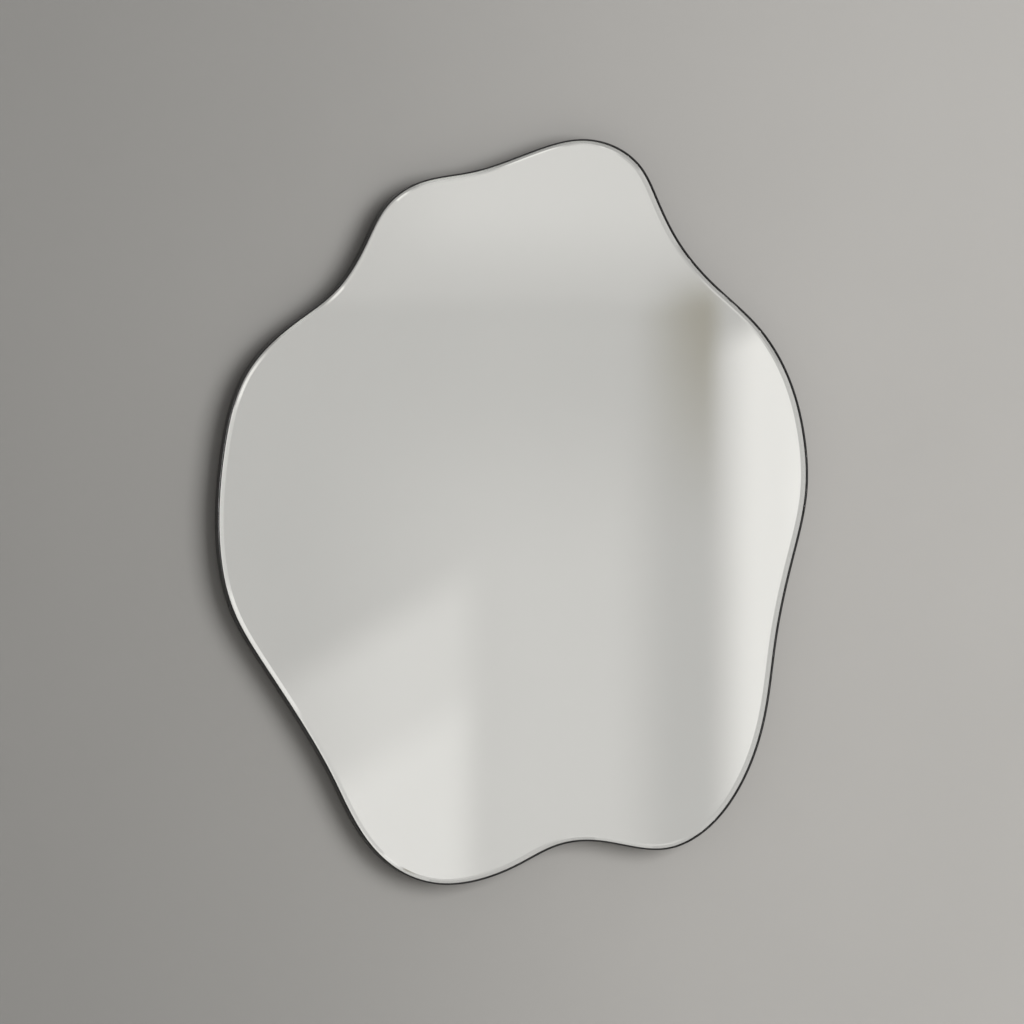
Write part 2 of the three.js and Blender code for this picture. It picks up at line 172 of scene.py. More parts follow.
class WallMirrorHangers(bpy.types.PropertyGroup):
    """Strap hangers, their screws and rings"""

    sheet: length("Strap Sheet", "Thickness of the folded steel strip", 0.78 * MM)
    strap_corner: length("Strap Corner", "Radius of the strap's lower corners", 4.5 * MM)
    strap_easing: length("Strap Easing", "Radius of the strap's cut edges", 0.12 * MM)
    fold_relief: length("Fold Relief", "Radius of the bend under the knuckle", 1.2 * MM)
    screw_hole: length("Screw Hole", "Radius of the strap's screw holes", 1.7 * MM)
    pilot: length("Pilot Hole", "Radius of the board's pilot holes", 1.5 * MM)
    shank: length("Screw Shank", "Radius of the screw's shank", 1.4 * MM)
    head_rim: length("Head Rim", "Height of the screw head's straight rim", 0.5 * MM)
    crown: length("Head Crown", "Radius of the flat top of the screw head", 1.2 * MM)
    point: length("Screw Point", "Length of the screw's point", 1.8 * MM)
    recess_span: length("Recess Span", "Width of the cross recess over its arms", 3.4 * MM)
    recess_width: length("Recess Width", "Width of one arm of the recess", 0.9 * MM)
    recess_depth: length("Recess Depth", "Depth of the cross recess", 1.0 * MM)
    wire: length("Wire Radius", "Radius of the ring's wire", 1.1 * MM)
    ring_corner: length("Ring Corner", "Bend radius at the ends of the bar", 2.5 * MM)
    zinc: colour("Zinc", "Bright zinc plate", (0.64, 0.65, 0.66))


class WallMirrorStudio(bpy.types.PropertyGroup):
    """Wall, floor, lamps and background"""

    floor_drop: length("Floor Drop", "How far the floor is below the mirror's middle", 0.9)
    wall: colour("Wall", "Colour of the plain wall", (0.466, 0.455, 0.436))
    # Painted shade: the wall's colour far to the left, darker than on the right
    wall_shaded_left: colour("Wall, Left", "Colour of the wall far to the left", (0.34, 0.333, 0.32))
    floor: colour("Floor", "Colour of the plain floor", (0.62, 0.61, 0.59))
    background: colour("Background", "Colour far away", (0.64, 0.635, 0.62))
    key_power: power("Key Power", "Soft lamp at the front, to the right", 54.0)
    rear_power: power("Rear Power", "Soft lamp behind, to the right", 64.0)
    edge_power: power("Edge Power", "Lamp at the left that only glosses the edges", 180.0)
    ambient: share("Ambient", "Light from all round", 0.25)


SETTINGS = {
    "wall_mirror_pane": WallMirrorPane,
    "wall_mirror_back": WallMirrorBack,
    "wall_mirror_hangers": WallMirrorHangers,
    "wall_mirror_studio": WallMirrorStudio,
}


# ------------------------------------------------------------- places taken from the frame


def rear_and_front(node):
    """Depths of a CAD node's two faces, the one nearest the wall first."""
    low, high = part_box(node)
    return high.y, low.y


def width_of(node):
    low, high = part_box(node)
    return high.x - low.x


def middle(node):
    low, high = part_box(node)
    return (low + high) / 2


def cad_outline(node):
    """Corners [x, z] of a CAD sheet's rear face, anticlockwise as the viewer sees them.

    Sorting them by angle works because a line from the origin crosses the outline only once.
    """
    rear, _ = rear_and_front(node)
    corners = {
        (round(vertex.co.x, 7), round(vertex.co.z, 7))
        for vertex in frame["nodes"][node].data.vertices
        if abs(vertex.co.y - rear) < SAME_PLACE
    }
    return np.array(sorted(corners, key=lambda corner: math.atan2(corner[1], corner[0])))


def smooth_closed(points, count):
    """The closed curve through the points, as this many points."""
    total = len(points)
    place = np.arange(count) * total / count
    start = np.floor(place).astype(int)
    step = (place - start)[:, None]
    before, here, after, beyond = (points[(start + move) % total] for move in (-1, 0, 1, 2))
    slope = after - before
    bend = 2 * before - 5 * here + 4 * after - beyond
    twist = 3 * here - before - 3 * after + beyond
    return here + (slope * step + bend * step**2 + twist * step**3) / 2


def inward(points):
    """Unit vectors that point into an anticlockwise outline."""
    along = np.roll(points, -1, axis=0) - np.roll(points, 1, axis=0)
    side = np.stack([-along[:, 1], along[:, 0]], axis=1)
    return side / np.linalg.norm(side, axis=1)[:, None]


def inset(points, distance):
    return points + inward(points) * distance


def glass_outline(count=OUTLINE_POINTS):
    return smooth_closed(cad_outline("mirror_glass"), count)


def outline_beyond_glass(node, count=OUTLINE_POINTS):
    """The outline of a CAD node that runs parallel to the glass, from how much wider it is."""
    return inset(glass_outline(count), (width_of("mirror_glass") - width_of(node)) / 2)


def joint_place(name):
    return next(Vector(joint["pos_m"]) for joint in frame["joints"] if joint["name"] == name)


def screw_nodes(sides=SIDES):
    return [f"hanger_screw_{side}_{level}" for side in sides for level in SCREW_LEVELS]


# ---------------------------------------------------------------- meshes


def new_piece(name, mesh, materials=()):
    """An object at the origin with its place in its mesh."""
    piece = bpy.data.objects.new(name, mesh)
    bpy.context.scene.collection.objects.link(piece)
    for material in materials:
        mesh.materials.append(material)
    return piece


def mesh_from(name, vertices, faces, edges=()):
    mesh = bpy.data.meshes.new(name)
    mesh.from_pydata([tuple(vertex) for vertex in vertices], list(edges), list(faces))
    mesh.validate()
    return mesh


def smooth_shading(mesh, angle=SHARP_ANGLE):
    mesh.shade_smooth()
    mesh.set_sharp_from_angle(angle=angle)


def stacked_sheet(name, outline, layers):
    """Closed solid through copies of an outline, each (inset, depth), from the wall forwards."""
    count = len(outline)
    vertices = []
    for distance, depth in layers:
        vertices += [(x, depth, z) for x, z in inset(outline, distance)]
    faces = []
    for base in range(0, (len(layers) - 1) * count, count):
        for here in range(count):
            after = (here + 1) % count
            faces.append((base + here, base + after, base + count + after, base + count + here))
    faces.append(tuple(reversed(range(count))))
    faces.append(tuple(range(len(vertices) - count, len(vertices))))
    return mesh_from(name, vertices, faces)


def eased_layers(rear, front, radius):
    """Layers of a sheet whose two outer edges are rounded."""
    quarter = [math.pi / 2 * step / ROUNDING_STEPS for step in range(ROUNDING_STEPS + 1)]
    turn = [(radius * (1 - math.sin(a)), radius * (1 - math.cos(a))) for a in quarter]
    rear_edge = [(distance, rear - drop) for distance, drop in turn]
    front_edge = [(distance, front + drop) for distance, drop in reversed(turn)]
    return rear_edge + front_edge


def turned_mesh(name, profile, segments):
    """Closed solid turned about the Y axis from a profile of (radius, y), pole to pole."""
    shape = bmesh.new()
    rings = []
    for radius, y in profile:
        if radius == 0:
            rings.append([shape.verts.new((0, y, 0))] * segments)
            continue
        angles = [2 * math.pi * step / segments for step in range(segments)]
        rings.append([
            shape.verts.new((radius * math.cos(angle), y, radius * math.sin(angle)))
            for angle in angles
        ])
    for low, high in zip(rings, rings[1:]):
        for here in range(segments):
            after = (here + 1) % segments
            corners = dict.fromkeys([low[here], low[after], high[after], high[here]])
            shape.faces.new(list(corners))
    bmesh.ops.recalc_face_normals(shape, faces=shape.faces)
    mesh = bpy.data.meshes.new(name)
    shape.to_mesh(mesh)
    shape.free()
    return mesh


def box_mesh(name, size, centre):
    shape = bmesh.new()
    bmesh.ops.create_cube(shape, size=1.0, matrix=Matrix.Diagonal((*size, 1.0)))
    bmesh.ops.translate(shape, verts=shape.verts, vec=centre)
    mesh = bpy.data.meshes.new(name)
    shape.to_mesh(mesh)
    shape.free()
    return mesh


def rod_mesh(name, radius, start, end):
    """Round rod along Y between two points that differ in y alone."""
    profile = [(0, 0), (radius, 0), (radius, end.y - start.y), (0, end.y - start.y)]
    mesh = turned_mesh(name, profile, SCREW_SEGMENTS)
    mesh.transform(Matrix.Translation(start))
    return mesh


def cut_away(piece, tools):
    """Adds a cut with each tool mesh, and returns the tool objects to delete afterwards."""
    cutters = []
    for mesh in tools:
        cutter = new_piece(mesh.name, mesh)
        modifier = piece.modifiers.new(f"Cut {mesh.name}", "BOOLEAN")
        modifier.operation = "DIFFERENCE"
        modifier.solver = "EXACT"
        modifier.object = cutter
        cutters.append(cutter)
    return cutters


def settle(piece, helpers=()):
    """A plain mesh piece in place of one whose modifiers are live, and of its helpers."""
    bpy.context.view_layer.update()
    evaluated = piece.evaluated_get(bpy.context.evaluated_depsgraph_get())
    mesh = bpy.data.meshes.new_from_object(evaluated)
    name = piece.name
    for old in (piece, *helpers):
        bpy.data.objects.remove(old)
    mesh.name = name
    smooth_shading(mesh)
    return new_piece(name, mesh)


def screw_bores(radius, sides=SIDES):
    """A rod at each screw's place, from its point out to the wall, to bore its hole with."""
    bores = []
    for node in screw_nodes(sides):
        start = middle(node)
        start.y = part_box(node)[0].y
        bores.append(rod_mesh("bore", radius, start, Vector((start.x, 0.0, start.z))))
    return bores


def finish_piece(piece, body, slot, *nodes):
    """Ties a finished piece to its body and hides the nodes it stands for; the slot it is given is
    not used.
    """
    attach(piece, body)
    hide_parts(*nodes)


# ---------------------------------------------------------------- Geometry Nodes


class Tree:
    """A Geometry Nodes tree with named inputs, and the short calls that fill it."""

    def __init__(self, name, sizes=(), counts=(), objects=(), source="Path"):
        self.group = bpy.data.node_groups.new(name, "GeometryNodeTree")
        self.add_input(source, "NodeSocketGeometry")
        for size in sizes:
            self.add_input(size, "NodeSocketFloat").subtype = "DISTANCE"
        for count in counts:
            self.add_input(count, "NodeSocketInt")
        for thing in objects:
            self.add_input(thing, "NodeSocketObject")
        self.add_input("Material", "NodeSocketMaterial")
        self.group.interface.new_socket(
            name="Geometry", in_out="OUTPUT", socket_type="NodeSocketGeometry"
        )
        self.inputs = self.node("NodeGroupInput").outputs

    def add_input(self, name, kind):
        return self.group.interface.new_socket(name=name, in_out="INPUT", socket_type=kind)

    def node(self, kind, **sockets):
        """A node with its sockets set or linked. Words in lower case set its own properties."""
        made = self.group.nodes.new(kind)
        for name, value in sockets.items():
            if name.islower():
                setattr(made, name, value)
        for name, value in sockets.items():
            if not name.islower():
                self.feed(made.inputs[name.replace("_", " ")], value)
        return made

    def feed(self, socket, value):
        if isinstance(value, bpy.types.NodeSocket):
            self.group.links.new(value, socket)
        else:
            socket.default_value = value

    def math(self, operation, first, second=0.0):
        made = self.group.nodes.new("ShaderNodeMath")
        made.operation = operation
        self.feed(made.inputs[0], first)
        self.feed(made.inputs[1], second)
        return made.outputs[0]

    def end(self, geometry):
        """Realizes what the tree made, gives it the material and hands it out."""
        real = self.node("GeometryNodeRealizeInstances", Geometry=geometry)
        dressed = self.node(
            "GeometryNodeSetMaterial",
            Geometry=real.outputs[0],
            Material=self.inputs["Material"],
        )
        self.group.links.new(dressed.outputs[0], self.node("NodeGroupOutput").inputs[0])


def strip_tree():
    """A flat strip swept along a path in the XZ plane, its outer and inner corners rounded."""
    tree = Tree(
        "Strip Along Path",
        ["Depth", "Thickness", "Outer Rounding", "Inner Rounding"],
        ["Rounding Steps"],
    )
    given = tree.inputs
    path = tree.node("GeometryNodeMeshToCurve", Mesh=given["Path"])
    upright = tree.node(
        "GeometryNodeSetCurveNormal", mode="FREE", Curve=path.outputs[0], Normal=(0, -1, 0)
    )
    section = tree.node(
        "GeometryNodeCurvePrimitiveQuadrilateral",
        mode="RECTANGLE",
        Width=given["Depth"],
        Height=given["Thickness"],
    )
    corner = tree.node("GeometryNodeInputPosition").outputs[0]
    place = tree.node("ShaderNodeSeparateXYZ", Vector=corner)
    outer = tree.math("GREATER_THAN", place.outputs["Y"])
    radius = tree.math(
        "ADD",
        tree.math("MULTIPLY", given["Outer Rounding"], outer),
        tree.math("MULTIPLY", given["Inner Rounding"], tree.math("SUBTRACT", 1.0, outer)),
    )
    rounded = tree.node(
        "GeometryNodeFilletCurve",
        mode="POLY",
        Curve=section.outputs[0],
        Radius=radius,
        Count=given["Rounding Steps"],
    )
    swept = tree.node(
        "GeometryNodeCurveToMesh",
        Curve=upright.outputs[0],
        Profile_Curve=rounded.outputs[0],
        Fill_Caps=True,
    )
    tree.end(swept.outputs[0])
    return tree.group


def wire_tree():
    """A round wire bent along a path."""
    tree = Tree("Wire Along Path", ["Wire Radius"], ["Sides"])
    path = tree.node("GeometryNodeMeshToCurve", Mesh=tree.inputs["Path"])
    section = tree.node(
        "GeometryNodeCurvePrimitiveCircle",
        Resolution=tree.inputs["Sides"],
        Radius=tree.inputs["Wire Radius"],
    )
    swept = tree.node(
        "GeometryNodeCurveToMesh", Curve=path.outputs[0], Profile_Curve=section.outputs[0]
    )
    tree.end(swept.outputs[0])
    return tree.group


def copies_tree(seed):
    """A master object at each point, each turned about Y by a random angle."""
    tree = Tree("Copies At Points", objects=["Master"], source="Points")
    master = tree.node("GeometryNodeObjectInfo", Object=tree.inputs["Master"])
    turn = tree.group.nodes.new("FunctionNodeRandomValue")
    turn.data_type = "FLOAT"
    limits = [socket for socket in turn.inputs if socket.enabled]
    for socket, value in zip(limits, (0.0, math.pi / 2)):
        socket.default_value = value
    turn.inputs["Seed"].default_value = seed
    angle = next(socket for socket in turn.outputs if socket.enabled)
    placed = tree.node(
        "GeometryNodeInstanceOnPoints",
        Points=tree.inputs["Points"],
        Instance=master.outputs["Geometry"],
        Rotation=tree.node("ShaderNodeCombineXYZ", Y=angle).outputs[0],
    )
    tree.end(placed.outputs[0])
    return tree.group


def grow(name, vertices, edges, group, values):
    """Runs a Geometry Nodes tree over a few points or edges, and returns the plain piece."""
    piece = new_piece(name, mesh_from(name, vertices, [], edges))
    modifier = piece.modifiers.new(group.name, "NODES")
    modifier.node_group = group
    for item in group.interface.items_tree:
        if item.name in values:
            modifier[item.identifier] = values[item.name]
    return settle(piece)


def copies(name, master, places, seed, material):
    """One piece made of a copy of the master object at each place, without the master."""
    piece = grow(name, places, [], copies_tree(seed), {"Master": master, "Material": material})
    bpy.data.objects.remove(master)
    return piece


# ---------------------------------------------------------------- materials

BLACK = (0.0, 0.0, 0.0)
DUST = (0.16, 0.155, 0.145)
RUBBED_COAT = (0.11, 0.1, 0.09)
NICKED_STRIP = (0.12, 0.12, 0.12)
WARM_CAST = (1.06, 1.02, 0.93)
COOL_CAST = (0.93, 0.98, 1.05)

# Most of what a noise node gives lies between these
NOISE_SPAN = (0.3, 0.7)


class Finish:
    """A material on object coordinates, and the short calls that build its nodes."""

    def __init__(self, name, **sockets):
        self.material = bpy.data.materials.new(name)
        self.material.use_nodes = True
        self.tree = self.material.node_tree
        self.tree.nodes.clear()
        self.output = self.tree.nodes.new("ShaderNodeOutputMaterial")
        self.shader = self.tree.nodes.new("ShaderNodeBsdfPrincipled")
        self.link(self.shader.outputs[0], self.output.inputs["Surface"])
        self.place = self.tree.nodes.new("ShaderNodeTexCoord").outputs["Object"]
        self.set(**sockets)

    def link(self, start, end):
        self.tree.links.new(start, end)

    def feed(self, socket, value):
        if isinstance(value, bpy.types.NodeSocket):
            self.link(value, socket)
        else:
            socket.default_value = value

    def stretched(self, scale):
        """Object coordinates, stretched by a different scale on each axis."""
        mapping = self.tree.nodes.new("ShaderNodeMapping")
        mapping.inputs["Scale"].default_value = scale
        self.link(self.place, mapping.inputs["Vector"])
        return mapping.outputs[0]

    def noise(self, scale, detail=3.0, rough=0.5, place=None, distortion=0.0):
        node = self.tree.nodes.new("ShaderNodeTexNoise")
        self.link(place or self.place, node.inputs["Vector"])
        node.inputs["Scale"].default_value = scale
        node.inputs["Detail"].default_value = detail
        node.inputs["Roughness"].default_value = rough
        node.inputs["Distortion"].default_value = distortion
        return node.outputs["Fac"]

    def cells(self, scale):
        node = self.tree.nodes.new("ShaderNodeTexVoronoi")
        self.link(self.place, node.inputs["Vector"])
        node.inputs["Scale"].default_value = scale
        return node.outputs["Distance"]

    def range(self, value, low, high, to_low=0.0, to_high=1.0):
        node = self.tree.nodes.new("ShaderNodeMapRange")
        node.interpolation_type = "SMOOTHSTEP"
        settings = {"From Min": low, "From Max": high, "To Min": to_low, "To Max": to_high}
        for socket, number in settings.items():
            node.inputs[socket].default_value = number
        self.link(value, node.inputs["Value"])
        return node.outputs["Result"]

    def math(self, operation, first, second=0.0):
        node = self.tree.nodes.new("ShaderNodeMath")
        node.operation = operation
        self.feed(node.inputs[0], first)
        self.feed(node.inputs[1], second)
        return node.outputs[0]

    def blend(self, factor, first, second):
        node = self.tree.nodes.new("ShaderNodeMix")
        node.data_type = "RGBA"
        colours = [socket for socket in node.inputs if socket.type == "RGBA"]
        self.feed(node.inputs[0], factor)
        for socket, value in zip(colours, (first, second)):
            self.feed(socket, value)
        return next(socket for socket in node.outputs if socket.type == "RGBA")

    def bump(self, height, strength, distance, under=None):
        node = self.tree.nodes.new("ShaderNodeBump")
        node.inputs["Strength"].default_value = strength
        node.inputs["Distance"].default_value = distance
        self.link(height, node.inputs["Height"])
        if under is not None:
            self.link(under, node.inputs["Normal"])
        return node.outputs["Normal"]

    def thin_out(self, clear_share):
        """Lets this share of the surface be seen through."""
        surface = self.output.inputs["Surface"]
        clear = self.tree.nodes.new("ShaderNodeBsdfTransparent")
        mix = self.tree.nodes.new("ShaderNodeMixShader")
        self.link(clear_share, mix.inputs[0])
        self.link(surface.links[0].from_socket, mix.inputs[1])
        self.link(clear.outputs[0], mix.inputs[2])
        self.link(mix.outputs[0], surface)

    def set(self, **sockets):
        for socket, value in sockets.items():
            self.feed(self.shader.inputs[socket.replace("_", " ")], value)
        return self.material


def rgba(tint, level=1.0):
    """A colour as a socket takes it, made lighter or darker by the level."""
    return (*(channel * level for channel in tint), 1.0)


def cast_over(tint, cast):
    """A colour with a cast laid over it, channel by channel."""
    return tuple(channel * part for channel, part in zip(tint, cast))


def glass_finish(settings):
    """Clear float glass: polished, faintly wavy, with the thinnest haze in places."""
    finish = Finish(
        "clear_bevelled_glass",
        Base_Color=rgba(settings.glass_tint),
        IOR=1.52,
        Transmission_Weight=1.0,
    )
    haze = finish.noise(9.0, detail=5.0, rough=0.6)
    draw = finish.noise(3.0, detail=1.0, place=finish.stretched((1.0, 1.0, 0.35)))
    return finish.set(
        Roughness=finish.range(haze, 0.45, 0.8, 0.0, 0.02),
        Normal=finish.bump(draw, 0.02, 0.001),
    )


def silver_finish(settings):
    """Silver deposited on glass: bright, with very slight clouding."""
    finish = Finish("mirror_silver", Metallic=1.0)
    cloud = finish.noise(6.0, detail=4.0)
    grain = finish.noise(1400.0, detail=2.0)
    tint = finish.blend(
        finish.range(cloud, *NOISE_SPAN),
        rgba(settings.silver_tint),
        rgba(settings.silver_tint, 0.985),
    )
    return finish.set(Base_Color=tint, Roughness=finish.range(grain, *NOISE_SPAN, 0.012, 0.03))


def paint_finish(settings):
    """Grey protective paint, rolled on thin, with a fine orange peel."""
    finish = Finish("backing_paint")
    streak = finish.noise(40.0, detail=4.0, place=finish.stretched((1.0, 1.0, 0.1)))
    peel = finish.noise(900.0, detail=3.0)
    tint = finish.blend(
        finish.range(streak, 0.35, 0.7), rgba(settings.paint), rgba(settings.paint, 1.25)
    )
    return finish.set(
        Base_Color=tint,
        Roughness=finish.range(peel, *NOISE_SPAN, 0.5, 0.65),
        Normal=finish.bump(peel, 0.25, 0.0001),
    )


def board_finish(settings):
    """Fibreboard under a matt black coat: pressed fibres, fine dust and a few pale rubs."""
    finish = Finish("black_coated_fibreboard", Specular_IOR_Level=0.3)
    fibre = finish.noise(260.0, detail=6.0, rough=0.65, place=finish.stretched((1.0, 1.0, 0.45)))
    cloud = finish.noise(7.0, detail=5.0, rough=0.6)
    specks = finish.cells(900.0)
    rubs = finish.noise(30.0, detail=7.0, rough=0.7, place=finish.stretched((1.0, 1.0, 0.12)))
    coat = finish.blend(
        finish.range(cloud, 0.3, 0.75), rgba(settings.board), rgba(settings.board, 1.7)
    )
    dusty = finish.blend(
        finish.math("MULTIPLY", finish.range(specks, 0.12, 0.04), finish.range(cloud, 0.4, 0.7)),
        coat,
        rgba(DUST),
    )
    rubbed = finish.blend(finish.range(rubs, 0.66, 0.8, 0.0, 0.5), dusty, rgba(RUBBED_COAT))
    return finish.set(
        Base_Color=rubbed,
        Roughness=finish.range(fibre, 0.25, 0.75, 0.62, 0.85),
        Normal=finish.bump(fibre, 0.35, 0.00025),
    )


def strip_finish(settings):
    """Satin black edge banding: fine lines round the edge and a light powdering of dust."""
    finish = Finish("black_edge_banding", Specular_IOR_Level=0.4)
    lines = finish.noise(1.0, detail=4.0, rough=0.6, place=finish.stretched((25.0, 3500.0, 25.0)))
    grain = finish.noise(1800.0, detail=3.0)
    cloud = finish.noise(22.0, detail=4.0)
    nicks = finish.cells(420.0)
    tint = finish.blend(
        finish.range(cloud, *NOISE_SPAN), rgba(settings.strip), rgba(settings.strip, 1.6)
    )
    worn = finish.blend(finish.range(nicks, 0.07, 0.03, 0.0, 0.6), tint, rgba(NICKED_STRIP))
    relief = finish.bump(lines, 0.3, 0.00004, under=finish.bump(grain, 0.2, 0.00003))
    return finish.set(
        Base_Color=worn, Roughness=finish.range(cloud, *NOISE_SPAN, 0.26, 0.38), Normal=relief
    )


def tape_finish(settings):
    """Closed-cell foam: packed bubbles, darker between them."""
    finish = Finish("mounting_foam")
    bubbles = finish.cells(2600.0)
    cloud = finish.noise(60.0, detail=3.0)
    tint = finish.blend(
        finish.range(bubbles, 0.25, 0.75), rgba(settings.tape), rgba(settings.tape, 0.72)
    )
    return finish.set(
        Base_Color=tint,
        Roughness=finish.range(cloud, *NOISE_SPAN, 0.82, 0.95),
        Normal=finish.bump(bubbles, 0.6, 0.00015),
    )


def rubber_finish(settings):
    """Moulded rubber: matt, fine-grained, a little chalky in places."""
    finish = Finish("bumper_rubber", Specular_IOR_Level=0.35)
    grain = finish.noise(1500.0, detail=4.0, rough=0.6)
    bloom = finish.noise(160.0, detail=5.0, rough=0.65)
    tint = finish.blend(
        finish.range(bloom, 0.42, 0.75), rgba(settings.bumper), rgba(settings.bumper, 2.6)
    )
    return finish.set(
        Base_Color=tint,
        Roughness=finish.range(grain, *NOISE_SPAN, 0.7, 0.9),
        Normal=finish.bump(grain, 0.35, 0.00008),
    )


def zinc_finish(settings):
    """Bright zinc plate: fine drawing lines, a faint blue and straw cast, dull spots."""
    finish = Finish("bright_zinc", Metallic=1.0)
    cast = finish.noise(90.0, detail=4.0, distortion=0.6)
    lengthwise = finish.stretched((3000.0, 3000.0, 160.0))
    drawn = finish.noise(1.0, detail=5.0, rough=0.6, place=lengthwise)
    spots = finish.noise(420.0, detail=5.0, rough=0.7)
    cool = rgba(cast_over(settings.zinc, COOL_CAST))
    warm = rgba(cast_over(settings.zinc, WARM_CAST))
    plated = finish.blend(finish.range(cast, 0.35, 0.65), cool, warm)
    dulled = finish.blend(
        finish.range(spots, 0.58, 0.75, 0.0, 0.6), plated, rgba(settings.zinc, 0.62)
    )
    shine = finish.math(
        "ADD",
        finish.range(drawn, *NOISE_SPAN, 0.16, 0.3),
        finish.range(spots, 0.5, 0.75, 0.0, 0.22),
    )
    return finish.set(
        Base_Color=dulled, Roughness=shine, Normal=finish.bump(drawn, 0.25, 0.00003)
    )


# ---------------------------------------------------------------- the object's pieces


class MirrorOperator:
    """What every operator here shares."""

    bl_options = {"REGISTER", "UNDO"}

    def execute(self, context):
        self.build(context.scene)
        return {"FINISHED"}


class WALLMIRROR_OT_glass(MirrorOperator, bpy.types.Operator):
    """Make the glass with its polished bevel"""

    bl_idname = "wall_mirror.glass"
    bl_label = "Bevelled Glass"

    def build(self, scene):
        settings = scene.wall_mirror_pane
        rear, front = rear_and_front("mirror_glass")
        layers = [
            (settings.seam, rear),
            (0.0, rear - settings.seam),
            (0.0, front + settings.bevel_drop),
            (settings.bevel_width, front),
        ]
        mesh = stacked_sheet("bevelled_glass", glass_outline(), layers)
        smooth_shading(mesh, BEVEL_ANGLE)
        piece = new_piece("bevelled_glass", mesh, [glass_finish(settings)])
        finish_piece(piece, "mirror", "glass", "mirror_glass")


class WALLMIRROR_OT_silver(MirrorOperator, bpy.types.Operator):
    """Make the silvering, bright in front and painted behind"""

    bl_idname = "wall_mirror.silver"
    bl_label = "Silvering"

    def build(self, scene):
        settings = scene.wall_mirror_pane
        rear, front = rear_and_front("silver_coat")
        mesh = stacked_sheet("silvering", glass_outline(), [(0.0, rear), (0.0, front)])
        smooth_shading(mesh)
        materials = [silver_finish(settings), paint_finish(settings)]
        piece = new_piece("silvering", mesh, materials)
        bright, painted = range(len(materials))
        for face in mesh.polygons:
            face.material_index = bright if face.normal.y < -0.5 else painted
        finish_piece(piece, "mirror", "silver", "silver_coat")


class WALLMIRROR_OT_board(MirrorOperator, bpy.types.Operator):
    """Make the backing board with its pilot holes"""

    bl_idname = "wall_mirror.board"
    bl_label = "Backing Board"

    def build(self, scene):
        settings = scene.wall_mirror_back
        rear, front = rear_and_front("backing_board")
        outline = outline_beyond_glass("backing_board")
        layers = eased_layers(rear, front, settings.board_easing)
        board = new_piece("black_board", stacked_sheet("black_board", outline, layers))
        bores = screw_bores(scene.wall_mirror_hangers.pilot)
        board = settle(board, cut_away(board, bores))
        board.data.materials.append(board_finish(settings))
        finish_piece(board, "mirror", "board", "backing_board")


class WALLMIRROR_OT_strip(MirrorOperator, bpy.types.Operator):
    """Run the edge strip round the glass and the board, from butt joint to butt joint"""

    bl_idname = "wall_mirror.strip"
    bl_label = "Edge Strip"

    def build(self, scene):
        settings = scene.wall_mirror_back
        rear, front = rear_and_front("edge_strip")
        outer = outline_beyond_glass("edge_strip")
        thickness = (width_of("edge_strip") - width_of("backing_board")) / 2 - CAD_GLUE_GAP
        path = inset(outer, thickness / 2)
        path = np.roll(path, -int(np.argmin(path[:, 1])), axis=0)
        half_gap = np.array([settings.strip_gap / 2, 0.0])
        places = [path[0] + half_gap, *path[1:], path[0] - half_gap]
        depth = (rear + front) / 2
        values = {
            "Depth": rear - front,
            "Thickness": thickness,
            "Outer Rounding": settings.strip_rounding,
            "Inner Rounding": settings.strip_arris,
            "Rounding Steps": ROUNDING_STEPS,
            "Material": strip_finish(settings),
        }
        strip = grow(
            "black_edge_strip",
            [(x, depth, z) for x, z in places],
            [(here, here + 1) for here in range(len(places) - 1)],
            strip_tree(),
            values,
        )
        finish_piece(strip, "mirror", "strip", "edge_strip")


class WALLMIRROR_OT_tapes(MirrorOperator, bpy.types.Operator):
    """Lay the runs of mounting tape between the board and the glass"""

    bl_idname = "wall_mirror.tapes"
    bl_label = "Mounting Tape"

    def build(self, scene):
        settings = scene.wall_mirror_back
        ends = []
        for node in TAPES:
            low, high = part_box(node)
            centre = middle(node)
            ends += [(centre.x, centre.y, low.z), (centre.x, centre.y, high.z)]
        rear, front = rear_and_front(TAPES[0])
        values = {
            "Depth": rear - front,
            "Thickness": width_of(TAPES[0]),
            "Outer Rounding": settings.tape_rounding,
            "Inner Rounding": settings.tape_rounding,
            "Rounding Steps": ROUNDING_STEPS,
            "Material": tape_finish(settings),
        }
        pairs = [(start, start + 1) for start in range(0, len(ends), 2)]
        tapes = grow("mounting_tapes", ends, pairs, strip_tree(), values)
        finish_piece(tapes, "mirror", "tape", *TAPES)


def bumper_mesh(settings, radius, height):
    """Round pad about Y, from y = 0 at the wall to the board, its wall edge rounded."""
    rounding = settings.bumper_rounding
    profile = [(0, -height), (radius, -height)]
    for step in range(ROUNDING_STEPS + 1):
        angle = math.pi / 2 * step / ROUNDING_STEPS
        inset_here = rounding * (1 - math.cos(angle))
        profile.append((radius - inset_here, -rounding * (1 - math.sin(angle))))
    profile.append((0, 0))
    return turned_mesh("bumper", profile, TURNED_SEGMENTS)


class WALLMIRROR_OT_bumpers(MirrorOperator, bpy.types.Operator):
    """Set the four rubber bumpers against the wall"""

    bl_idname = "wall_mirror.bumpers"
    bl_label = "Wall Bumpers"

    def build(self, scene):
        settings = scene.wall_mirror_back
        rear, front = rear_and_front(BUMPERS[0])
        mesh = bumper_mesh(settings, width_of(BUMPERS[0]) / 2, rear - front)
        master = new_piece("bumper_master", mesh)
        places = [(middle(node).x, rear, middle(node).z) for node in BUMPERS]
        rubber = rubber_finish(settings)
        bumpers = copies("wall_bumpers", master, places, BUMPER_SEED, rubber)
        finish_piece(bumpers, "mirror", "rubber", *BUMPERS)


def strap_face(side):
    """Depth of the strap's outer face, which each screw's head sits on."""
    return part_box(f"hanger_screw_{side}_upper")[1].y - SCREW_HEAD_HEIGHT - SEAT_GAP


